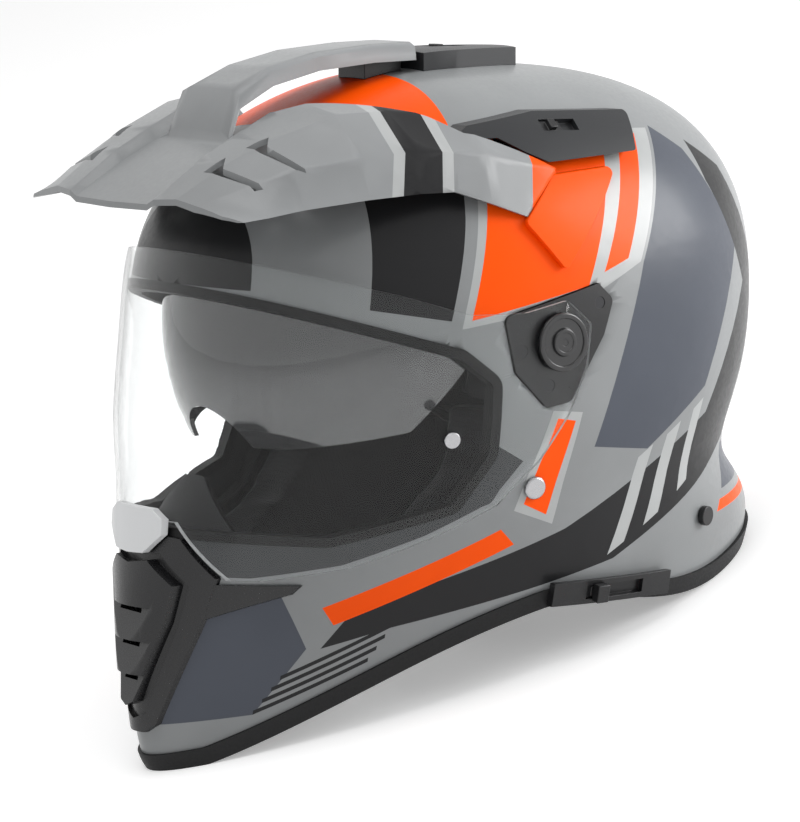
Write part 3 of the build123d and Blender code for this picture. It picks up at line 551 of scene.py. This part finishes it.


# Sun visor: smoke polycarbonate with a light mirror coat, swinging on two pins in the foam.
# Its tint is deeper towards the top.
smoke_pale = (0.085, 0.086, 0.09)
smoke_deep = (0.03, 0.03, 0.033)
smoke_mean = (0.05, 0.05, 0.055)
smoke_through = 0.5
smoke_index = 1.7
smoke, smoke_shader = material_of("smoke_lens", smoke_mean, roughness=0.03, specular=0.9)
smoke_shader.inputs["Transmission Weight"].default_value = smoke_through
smoke_shader.inputs["IOR"].default_value = smoke_index
smear = noise_on(smoke, scale=30.0, detail=4.0)
spread_over(smoke, smoke_shader, smear, "Roughness", low=0.02, high=0.06)
visor_low, visor_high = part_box("sun_visor")
visor_parts = smoke.node_tree.nodes.new("ShaderNodeSeparateXYZ")
visor_height = smoke.node_tree.nodes.new("ShaderNodeMapRange")
visor_height.inputs["From Min"].default_value = visor_low[2]
visor_height.inputs["From Max"].default_value = visor_high[2]
smoke.node_tree.links.new(object_place(smoke), visor_parts.inputs["Vector"])
smoke.node_tree.links.new(visor_parts.outputs["Z"], visor_height.inputs["Value"])
tint_over(smoke, smoke_shader, visor_height.outputs["Result"], smoke_pale, smoke_deep)
finish_node("sun_visor", smoke)


# Face shield: clear polycarbonate, hard coated outside and treated against mist inside, with
# a cut edge left a little frosted and painted pale as a highlight, and painted shade where it is seen edge
# on. It hangs on the two pivots.
# Painted shade for a clear sheet seen edge on, and the span of facing that it covers.
painted_edge_shade = (0.02, 0.02, 0.022)
edge_shade_from, edge_shade_to = 0.72, 0.97


def clear_sheet(name, colour, index, low, high, through=1.0):
    """Clear plastic with painted shade where it is seen edge on; roughness wanders a little."""
    material, shader = material_of(name, colour, low)
    shader.inputs["Transmission Weight"].default_value = through
    shader.inputs["IOR"].default_value = index
    wander = noise_on(material, scale=25.0, detail=4.0)
    spread_over(material, shader, wander, "Roughness", low, high)
    tree = material.node_tree
    # Painted shade: the base colour turns dark grey where the sheet is seen edge on.
    slant = tree.nodes.new("ShaderNodeLayerWeight")
    depth_and_edge_shade = tree.nodes.new("ShaderNodeValToRGB")
    depth_and_edge_shade.color_ramp.elements[0].position = edge_shade_from
    depth_and_edge_shade.color_ramp.elements[1].position = edge_shade_to
    depth_and_edge_shade.color_ramp.elements[0].color = (*colour, 1)
    depth_and_edge_shade.color_ramp.elements[1].color = (*painted_edge_shade, 1)
    tree.links.new(slant.outputs["Facing"], depth_and_edge_shade.inputs["Fac"])
    tree.links.new(depth_and_edge_shade.outputs["Color"], shader.inputs["Base Color"])
    return material


clear_white = (0.97, 0.98, 0.98)
# The cut edge's pale colour is partly its frosting and partly a painted highlight along the rim.
frosted_highlight_white = (0.72, 0.74, 0.75)
coated_index = 1.24
cut_index = 1.5
shield_core = Vector((0, 0, 0))
shield_facing = 0.5
shield_mesh = worn_copy("face_shield")
for face in shield_mesh.faces:
    facing = face.normal.dot((face.calc_center_median() - shield_core).normalized())
    if facing > shield_facing:
        face.material_index = 0
    elif facing < -shield_facing:
        face.material_index = 1
    else:
        face.material_index = 2
clear_faces = [
    clear_sheet("shield_outside", clear_white, coated_index, low=0.0, high=0.01),
    clear_sheet("shield_inside", clear_white, coated_index, low=0.0, high=0.01),
    clear_sheet("shield_cut_edge_highlight", frosted_highlight_white, cut_index, low=0.25, high=0.4, through=0.3),
]
clear_shield = settle(shield_mesh, "clear_shield", "shield", clear_faces, ["face_shield"])

# Lift tab of the shield: a glossy pale moulding, clipped to the shield's lower edge.
# The wearer opens the shield by it.
tab_grey = (0.70, 0.71, 0.72)
tab_gloss, tab_shader = material_of("tab_gloss", tab_grey, roughness=0.1, specular=0.6)
tab_smear = noise_on(tab_gloss, scale=60.0)
spread_over(tab_gloss, tab_shader, tab_smear, "Roughness", low=0.07, high=0.14)
eased("shield_lift_tab", tab_gloss, width=1.2)


# Black fittings: base plates, pivots, tracks, sliders and studs in moulded nylon. They are
# screwed or snapped to the shell.
mould_wander = 0.08


def moulded(name, colour, roughness, grain_scale, depth_and_edge_shade, specular):
    """Moulded plastic with a spark-eroded grain."""
    material, shader = material_of(name, colour, roughness, specular=specular)
    grain = noise_on(material, grain_scale, detail=5.0)
    spread_over(material, shader, grain, "Roughness", roughness - mould_wander, roughness + mould_wander)
    bump_from(material, shader, grain, depth_and_edge_shade, strength=0.6)
    return material


nylon_black = (0.009, 0.009, 0.010)
nylon = moulded("black_nylon", nylon_black, 0.34, grain_scale=1500.0, depth_and_edge_shade=0.00003, specular=0.4)
for name in (
    "base_plate_left", "base_plate_right", "visor_lever_track", "visor_lever", "crown_mount",
    "top_vent_slider", "side_vent_slider_left", "side_vent_slider_right", "chin_vent_grille",
    "collar_studs",
):
    eased(name, nylon, width=0.35)
for name in ("shield_pivot_left", "shield_pivot_right", "sun_visor_pins"):
    finish_node(name, nylon)


# Pivot caps: round glossy mouldings with a sunk ring and a dimpled hub. They snap over the
# pivots and keep the shield on.
cap_black = (0.010, 0.010, 0.011)
cap_nylon = moulded("cap_nylon", cap_black, 0.2, grain_scale=900.0, depth_and_edge_shade=0.00001, specular=0.6)
# Half section of a cap: how far out from its seat, and the radius, in millimetres.
cap_section = (
    (0.0, 0.0), (0.0, 14.4), (1.1, 14.4), (1.5, 14.2), (1.74, 13.9), (1.8, 13.5), (1.8, 12.1), (1.7, 11.8),
    (1.1, 11.5), (1.1, 7.2), (1.2, 7.0), (2.4, 6.6), (2.7, 6.4), (2.8, 6.1), (2.8, 5.0), (2.7, 4.8),
    (2.3, 4.6), (2.3, 2.0), (2.2, 1.8), (1.9, 1.6), (1.9, 0.0),
)
cap_steps = 72
cap_smooth_angle = 50.0
for side, node in ((1, "pivot_cap_left"), (-1, "pivot_cap_right")):
    seat = min(abs(corner[0]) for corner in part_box(node)) / mm
    cap_mesh = bmesh.new()
    section = [cap_mesh.verts.new((side * (seat + out), radius, 0)) for out, radius in cap_section]
    for first, second in zip(section, section[1:]):
        cap_mesh.edges.new((first, second))
    bmesh.ops.spin(
        cap_mesh, geom=[*cap_mesh.verts, *cap_mesh.edges], cent=(0, 0, 0), axis=(1, 0, 0),
        angle=radians(360), steps=cap_steps, use_merge=True,
    )
    bmesh.ops.remove_doubles(cap_mesh, verts=cap_mesh.verts, dist=cut_snap)
    bmesh.ops.recalc_face_normals(cap_mesh, faces=cap_mesh.faces)
    turned_cap = settle(
        cap_mesh, f"{node}_turned", nodes[node]["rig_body"], cap_nylon, [node], cap_smooth_angle,
    )
    even_shading(turned_cap)


# Vents: black moulded covers over the holes of the shell, with a matte grain. The one on
# the chin is glossier, as it meets the road first and is wiped most.
vent_grey = (0.016, 0.017, 0.019)
chin_grey = (0.010, 0.010, 0.011)
vent_black = moulded("vent_black", vent_grey, 0.42, grain_scale=1800.0, depth_and_edge_shade=0.00004, specular=0.35)
for name in ("top_vent", "side_vent_left", "side_vent_right", "rear_vent"):
    eased(name, vent_black, width=0.8)
chin_black = moulded("chin_black", chin_grey, 0.30, grain_scale=1200.0, depth_and_edge_shade=0.00003, specular=0.45)
eased("chin_vent", chin_black, width=0.7)


# Peak: moulded plastic, sprayed in a paler grey with the shell's fields carried on to it,
# held by the crown mount and, under the side covers, by a screw on each side.
peak_fields = (
    ("light_grey", ((-92, 30), (-74, 150), (-44, 150), (-58, 30))),
    ("charcoal", ((-86, 30), (-68, 150), (-50, 150), (-64, 30))),
    ("orange", ((-16, 20), (4, 150), (80, 150), (80, 20))),
)
peak_grey = (0.245, 0.253, 0.258)
peak_specular = 0.3
peak_core = Vector((0, -30, 20))
strut_clear = 40.0
peak_mesh = worn_copy("peak")
peak_paints, peak_slots = paint_list(lacquer("peak_grey_lacquer", peak_grey, peak_specular))
for name, outline in peak_fields:
    mask_and_spray(peak_mesh, peak_core, outline, peak_slots[name], strut_clear)
painted_peak = settle(peak_mesh, "painted_peak", "helmet", peak_paints, ["peak"])
even_shading(painted_peak)

# Side covers: moulded shields over the peak's side screws, snapped on, in the orange of the
# field that they lie in.
for name in ("side_cover_left", "side_cover_right"):
    eased(name, field_paints["orange"], width=0.8)


# Floor and light: a white studio sweep, a large soft light over the front, and a broad
# light behind on the right that draws the rim of the shell.
def background_rays(tree):
    """1 for what the camera sees directly, in a gloss or through clear plastic."""
    path = tree.nodes.new("ShaderNodeLightPath")
    direct = tree.nodes.new("ShaderNodeMath")
    direct.operation = "MAXIMUM"
    seen = tree.nodes.new("ShaderNodeMath")
    seen.operation = "MAXIMUM"
    tree.links.new(path.outputs["Is Camera Ray"], direct.inputs[0])
    tree.links.new(path.outputs["Is Transmission Ray"], direct.inputs[1])
    tree.links.new(direct.outputs[0], seen.inputs[0])
    tree.links.new(path.outputs["Is Glossy Ray"], seen.inputs[1])
    return seen.outputs[0]


def level_between(tree, rays, low, high, socket):
    """A strength that is high for the background's rays and low for the rest."""
    level = tree.nodes.new("ShaderNodeMapRange")
    level.inputs["To Min"].default_value = low
    level.inputs["To Max"].default_value = high
    tree.links.new(rays, level.inputs["Value"])
    tree.links.new(level.outputs["Result"], socket)


world = bpy.data.worlds.new("studio")
bpy.context.scene.world = world
world.use_nodes = True
sky = world.node_tree.nodes["Background"]
white = (1, 1, 1, 1)
sky.inputs["Color"].default_value = white
world_light = 0.5
level_between(world.node_tree, background_rays(world.node_tree), world_light, 1.0, sky.inputs["Strength"])

floor_size = 6.0
floor_lift = 0.32
floor_white = (0.93, 0.93, 0.93)
floor_mesh = bmesh.new()
bmesh.ops.create_grid(floor_mesh, x_segments=1, y_segments=1, size=floor_size)
floor_data = bpy.data.meshes.new("floor")
floor_mesh.to_mesh(floor_data)
floor_mesh.free()
floor = bpy.data.objects.new("floor", floor_data)
bpy.context.scene.collection.objects.link(floor)
floor_paint, floor_shader = material_of("floor_white", floor_white, roughness=0.9)
floor_shader.inputs["Emission Color"].default_value = white
level_between(
    floor_paint.node_tree, background_rays(floor_paint.node_tree), 0.0, floor_lift,
    floor_shader.inputs["Emission Strength"],
)
floor_data.materials.append(floor_paint)


def soft_light(name, worn_place, aim, size, power):
    """An area light in the worn pose, aimed at a point near the helmet."""
    data = bpy.data.lights.new(name, "AREA")
    data.energy = power
    data.size = size
    lamp = bpy.data.objects.new(name, data)
    bpy.context.scene.collection.objects.link(lamp)
    spot = worn @ Vector(worn_place)
    lamp.location = spot
    lamp.rotation_euler = (worn @ Vector(aim) - spot).to_track_quat("-Z", "Y").to_euler()


soft_light("overhead", worn_place=(0.1, -0.7, 1.8), aim=(0, 0, 0), size=1.6, power=20.0)
soft_light("back_right", worn_place=(1.2, 1.8, 0.9), aim=(0, 0.05, 0), size=1.2, power=52.0)
